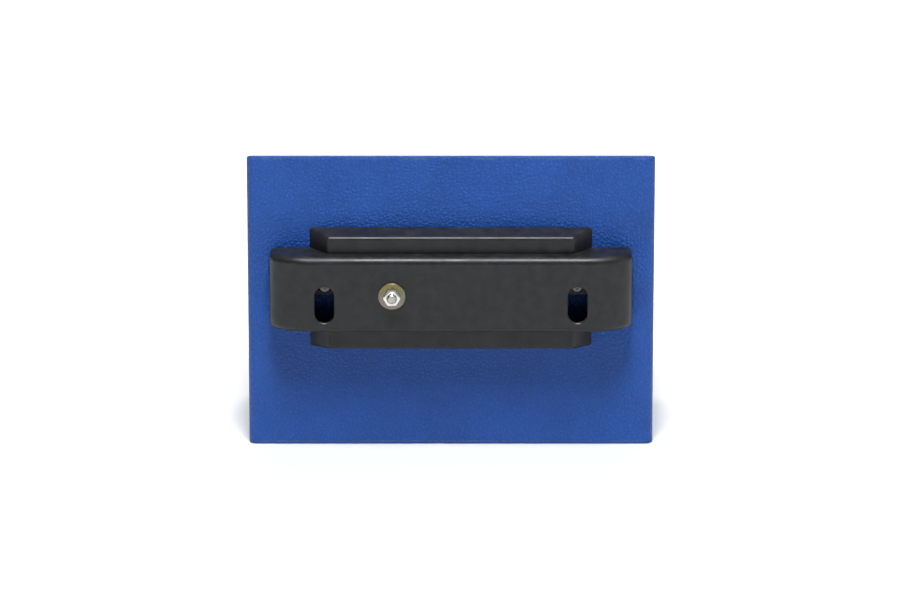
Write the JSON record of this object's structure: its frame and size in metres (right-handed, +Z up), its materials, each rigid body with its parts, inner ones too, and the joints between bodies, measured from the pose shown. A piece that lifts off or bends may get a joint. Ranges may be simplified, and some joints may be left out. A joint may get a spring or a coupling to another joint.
{
  "type": "parking pay station",
  "caption": "Compact coin and card parking pay station with a sloped roof, hinged front door and a moulded, slotted bracket on its back.",
  "frame": {"origin": "centre of the flat outer face of the rear bracket's bar", "axes": "+Y out of the bracket towards the post or wall, +X to the user's right, +Z up"},
  "size_m": [0.36, 0.2033, 0.2675],
  "materials": {
    "body_blue": "textured powder coat, leather grain",
    "bracket_black": "moulded, satin",
    "bright_zinc": "bright zinc plate",
    "black_zinc": "black zinc plate on steel, worn on its edges",
    "yellow_zinc": "yellow passivated zinc plate on steel",
    "plain_steel": "zinc-plated sheet",
    "stainless": "fine brushed",
    "black_rubber": "matt",
    "bezel_black": "fine texture",
    "clear_window": "polished",
    "display_grey": "satin",
    "circuit_green": "solder mask",
    "button_grey": "satin",
    "button_green": "satin",
    "button_red": "satin",
    "pad_grey": "polished",
    "flap_smoke": "polished",
    "cup_grey": "moulded",
    "device_black": "moulded",
    "aluminium_can": "plain",
    "battery_grey": "moulded",
    "gear_white": "moulded",
    "lever_green": "moulded",
    "thermal_paper": "smooth"
  },
  "bodies": {
    "cabinet": {"housing": "body_blue", "housing_roof": "body_blue", "housing_floor": "body_blue", "front_frame": "body_blue", "rear_bracket": "bracket_black", "bracket_bolt": "bright_zinc", "bracket_spacer": "plain_steel", "bracket_washer": "yellow_zinc", "bracket_nut": "bright_zinc", "bracket_screws": "black_zinc", "backing_plate": "plain_steel", "housing_hinge_leaf": "stainless", "hinge_pin": "stainless", "door_gasket": "black_rubber", "chassis_plate": "plain_steel", "chassis_fixings": "bright_zinc", "control_board": "circuit_green", "power_supply": "aluminium_can", "modem": "aluminium_can", "battery": "battery_grey", "coin_box": "plain_steel", "coin_box_tray": "plain_steel", "coin_funnel": "device_black", "printer_frame": "plain_steel", "feed_motor": "aluminium_can", "spindle_brackets": "plain_steel"},
    "door_assembly": {"door": "body_blue", "door_hinge_leaf": "stainless", "display_bezel": "bezel_black", "display_window": "clear_window", "display_module": "display_grey", "display_board": "circuit_green", "display_clips": "plain_steel", "button_housings": "stainless", "panel_nuts": "bright_zinc", "coin_entry": "stainless", "coin_validator": "device_black", "coin_chute": "device_black", "coin_return_cup": "cup_grey", "ticket_cup": "cup_grey", "contactless_pad": "pad_grey", "contactless_board": "circuit_green", "card_bezel": "bezel_black", "card_reader": "device_black", "lock_housing": "stainless"},
    "lock": {"lock_plug": "stainless", "lock_cam": "plain_steel"},
    "up_button": {"button_up": "button_grey"},
    "down_button": {"button_down": "button_grey"},
    "confirm_button": {"button_confirm": "button_green"},
    "cancel_button": {"button_cancel": "button_red"},
    "return_flap": {"coin_return_flap": "flap_smoke"},
    "outlet_flap": {"ticket_flap": "flap_smoke"},
    "paper": {"paper_roll": "thermal_paper", "paper_spindle": "gear_white"},
    "platen": {"platen_roller": "black_rubber", "platen_gear": "gear_white"},
    "motor_shaft": {"motor_pinion": "gear_white"},
    "head": {"print_head": "aluminium_can", "head_lever": "lever_green"}
  },
  "joints": [
    {"name": "door_hinge", "type": "hinge", "parent": "cabinet", "child": "door_assembly", "pos_m": [-0.1755, -0.1795, -0.048], "axis": [0, 0, -1], "range_deg": [0, 110]},
    {"name": "lock_turn", "type": "hinge", "parent": "door_assembly", "child": "lock", "pos_m": [0.152, -0.184, -0.072], "axis": [0, -1, 0], "range_deg": [0, 90]},
    {"name": "return_flap_hinge", "type": "hinge", "parent": "door_assembly", "child": "return_flap", "pos_m": [0.105, -0.1785, -0.1056], "axis": [1, 0, 0], "range_deg": [0, 60]},
    {"name": "outlet_flap_hinge", "type": "hinge", "parent": "door_assembly", "child": "outlet_flap", "pos_m": [-0.079, -0.1785, -0.1096], "axis": [1, 0, 0], "range_deg": [0, 70]},
    {"name": "paper_spin", "type": "hinge", "parent": "cabinet", "child": "paper", "pos_m": [-0.079, -0.091, 0.005], "axis": [1, 0, 0], "continuous": true},
    {"name": "platen_spin", "type": "hinge", "parent": "cabinet", "child": "platen", "pos_m": [-0.079, -0.118, -0.08], "axis": [1, 0, 0], "continuous": true},
    {"name": "motor_spin", "type": "hinge", "parent": "cabinet", "child": "motor_shaft", "pos_m": [-0.079, -0.10481, -0.08923], "axis": [1, 0, 0], "continuous": true},
    {"name": "head_lift", "type": "hinge", "parent": "cabinet", "child": "head", "pos_m": [-0.079, -0.084, -0.062], "axis": [-1, 0, 0], "range_deg": [0, 25]},
    {"name": "up_press", "type": "slide", "parent": "door_assembly", "child": "up_button", "axis": [0, 1, 0], "range_m": [0, 0.002], "stiffness_N_per_m": 1200},
    {"name": "down_press", "type": "slide", "parent": "door_assembly", "child": "down_button", "axis": [0, 1, 0], "range_m": [0, 0.002], "stiffness_N_per_m": 1200},
    {"name": "confirm_press", "type": "slide", "parent": "door_assembly", "child": "confirm_button", "axis": [0, 1, 0], "range_m": [0, 0.002], "stiffness_N_per_m": 1200},
    {"name": "cancel_press", "type": "slide", "parent": "door_assembly", "child": "cancel_button", "axis": [0, 1, 0], "range_m": [0, 0.002], "stiffness_N_per_m": 1200}
  ],
  "couplings": [
    {"joint": "platen_spin", "follows": "paper_spin", "ratio": 5},
    {"joint": "motor_spin", "follows": "paper_spin", "ratio": -8.3333}
  ]
}
